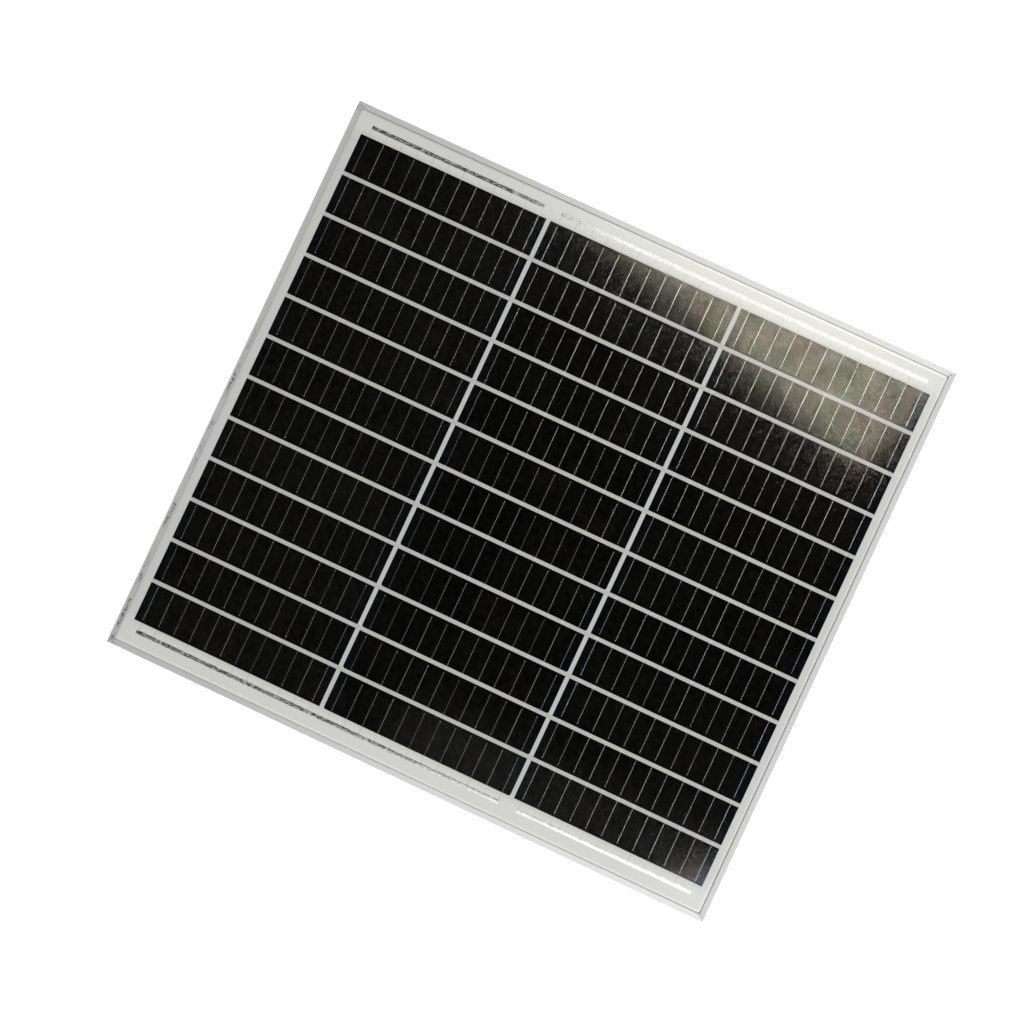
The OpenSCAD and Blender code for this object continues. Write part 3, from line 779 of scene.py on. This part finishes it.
def rectangle_path(low, high, z, step, corner=0.0):
    """Points round a rectangle with the inward direction at each."""
    corner_steps = 6
    path = []
    sides = (
        ((low.x + corner, low.y), (high.x - corner, low.y), (0, 1)),
        ((high.x, low.y + corner), (high.x, high.y - corner), (-1, 0)),
        ((high.x - corner, high.y), (low.x + corner, high.y), (0, -1)),
        ((low.x, high.y - corner), (low.x, low.y + corner), (1, 0)))
    for number, ((x0, y0), (x1, y1), (nx, ny)) in enumerate(sides):
        count = max(2, round(math.hypot(x1 - x0, y1 - y0) / step))
        for i in range(count):
            t = i / count
            path.append((x0 + (x1 - x0) * t, y0 + (y1 - y0) * t, nx, ny, z))
        if corner == 0.0:
            before = sides[number - 1][2]
            path[-count] = (x0, y0, nx + before[0], ny + before[1], z)
        else:
            after = sides[(number + 1) % len(sides)][2]
            centre = (x1 + nx * corner, y1 + ny * corner)
            for i in range(corner_steps):
                turn = (i / corner_steps) * math.pi / 2
                mx = nx * math.cos(turn) + after[0] * math.sin(turn)
                my = ny * math.cos(turn) + after[1] * math.sin(turn)
                path.append((centre[0] - mx * corner, centre[1] - my * corner, mx, my, z))
    return path


def half_round(width, height):
    """Section of a bead that hangs from a surface above it."""
    sides = 7
    turns = [math.pi * k / sides for k in range(sides + 1)]
    return [(width / 2 * (1 - math.cos(a)), -height * math.sin(a)) for a in turns]


def rear_beads():
    """Silicone squeezed out along the frame and round the junction box."""
    white = rubbery("bead_white", (0.72, 0.72, 0.70), 0.35, 120.0, 0.4)
    z = sheet_low.z - 0.02 * MM
    inset = Vector((FRAME_BOX_W, FRAME_BOX_W, 0))
    bead(
        "frame_bead", rectangle_path(bound_low + inset, bound_high - inset, z, 4 * MM),
        half_round(2.6 * MM, 1.3 * MM), white, 21, 0.5)
    outset = Vector((4.6 * MM, 4.6 * MM, 0))
    bead(
        "box_bead", rectangle_path(glue_low - outset, glue_high + outset, z, 2 * MM, 6 * MM),
        half_round(1.5 * MM, 0.75 * MM), white, 22, 0.4)


def rating_label():
    """A blank ruled label on the back, beside the junction box."""
    width, height, thickness = 90 * MM, 62 * MM, 0.15 * MM
    left, bottom, clear = 60 * MM, 190 * MM, 0.02 * MM
    corner = 3 * MM
    corner_steps = 6
    low = Vector((left, bottom, sheet_low.z - clear - thickness))
    high = Vector((low.x + width, low.y + height, low.z + thickness))
    outline = []
    for cx, cy, start in (
        (high.x - corner, high.y - corner, 0), (low.x + corner, high.y - corner, 90),
        (low.x + corner, low.y + corner, 180), (high.x - corner, low.y + corner, 270)):
        for k in range(corner_steps + 1):
            a = math.radians(start + 90 / corner_steps * k)
            outline.append((cx + corner * math.cos(a), cy + corner * math.sin(a)))
    n = len(outline)
    points = [(x, y, low.z) for x, y in outline] + [(x, y, high.z) for x, y in outline]
    faces = [tuple(range(n - 1, -1, -1)), tuple(range(n, 2 * n))]
    for k in range(n):
        m = (k + 1) % n
        faces.append((k, m, n + m, n + k))
    return piece(
        "rating_label", points, faces, label_print(low, high), "panel", smooth=False)


bus_skins()
solder_dots()
rear_beads()
rating_label()

# ------------------------------------------------------------------ studio


def floor():
    """A plain pale floor just under the frame."""
    half = 9.0
    z = bound_low.z - 0.5 * MM
    mesh = bpy.data.meshes.new("floor")
    mesh.from_pydata(
        [(-half, -half, z), (half, -half, z), (half, half, z), (-half, half, z)],
        [], [(0, 1, 2, 3)])
    made = bpy.data.objects.new("floor", mesh)
    bpy.context.scene.collection.objects.link(made)
    g = Graph("floor_paper")
    g.surface(
        Base_Color=(0.93, 0.93, 0.93), Roughness=0.9, Specular_IOR_Level=0.0,
        Emission_Color=(1.0, 1.0, 1.0), Emission_Strength=0.55)
    mesh.materials.append(g.material)


def area_light(name, place, size, power, colour=(1.0, 1.0, 1.0)):
    """A softbox that faces the middle of the panel."""
    data = bpy.data.lights.new(name, "AREA")
    data.shape = "RECTANGLE"
    data.size, data.size_y = size
    data.energy = power
    data.color = colour
    made = bpy.data.objects.new(name, data)
    made.location = place
    made.rotation_euler = (-Vector(place)).to_track_quat("-Z", "Y").to_euler()
    bpy.context.scene.collection.objects.link(made)
    return made


def overhead(name, place, size, turn, power, colour=(1.0, 1.0, 1.0)):
    """A softbox that faces straight down, turned about the vertical by an angle in degrees."""
    made = area_light(name, place, size, power, colour)
    made.rotation_euler = (0.0, 0.0, math.radians(turn))
    return made


def studio():
    """Softboxes all round, overhead cards that show in the glass, and a dim sky."""
    warm, cool = (1.0, 0.96, 0.87), (0.93, 0.95, 1.0)
    area_light("key", (1.30, 0.2, 2.5), (1.6, 0.7), 19.0)
    area_light("fill", (-1.3, -0.2, 2.5), (1.4, 0.7), 3.0)
    area_light("rim_top", (0.3, 1.25, 2.5), (1.5, 0.5), 6.5)
    area_light("rim_bottom", (0.6, -1.15, 2.5), (1.5, 0.5), 21.0)
    soft = overhead("soft", (0.40, -0.08, 3.0), (1.5, 1.8), 0.0, 45.0)
    soft.visible_glossy = False
    overhead("window", (0.107, 0.736, 2.6), (0.90, 0.40), -18.5, 7.9, warm)
    overhead("low_card", (0.28, -0.58, 2.6), (0.90, 0.34), 0.0, 0.20, cool)
    overhead("corner_card", (0.656, -0.520, 2.5), (0.36, 0.22), 25.0, 1.0, cool)
    world = bpy.data.worlds.new("studio_air")
    world.use_nodes = True
    sky = world.node_tree.nodes["Background"]
    sky.inputs["Color"].default_value = (1.0, 1.0, 1.0, 1.0)
    sky.inputs["Strength"].default_value = 0.05
    bpy.context.scene.world = world


def camera():
    """Looks almost straight down, turned about its own axis by 25 degrees."""
    turn = math.radians(25.0)
    aim = Vector((-0.0148, -0.0111, glass_high.z))
    place = aim + Vector((0.1203, -0.0334, 2.54))
    look = (aim - place).normalized()
    right = look.cross(Vector((-math.sin(turn), math.cos(turn), 0.0))).normalized()
    up = right.cross(look)
    data = bpy.data.cameras.new("camera")
    data.sensor_width = 36.0
    data.lens = 87.89
    made = bpy.data.objects.new("camera", data)
    made.matrix_world = Matrix.Translation(place) @ Matrix(
        (right, up, -look)).transposed().to_4x4()
    bpy.context.scene.collection.objects.link(made)
    bpy.context.scene.camera = made


floor()
studio()
camera()
bpy.context.scene.view_settings.view_transform = "Standard"
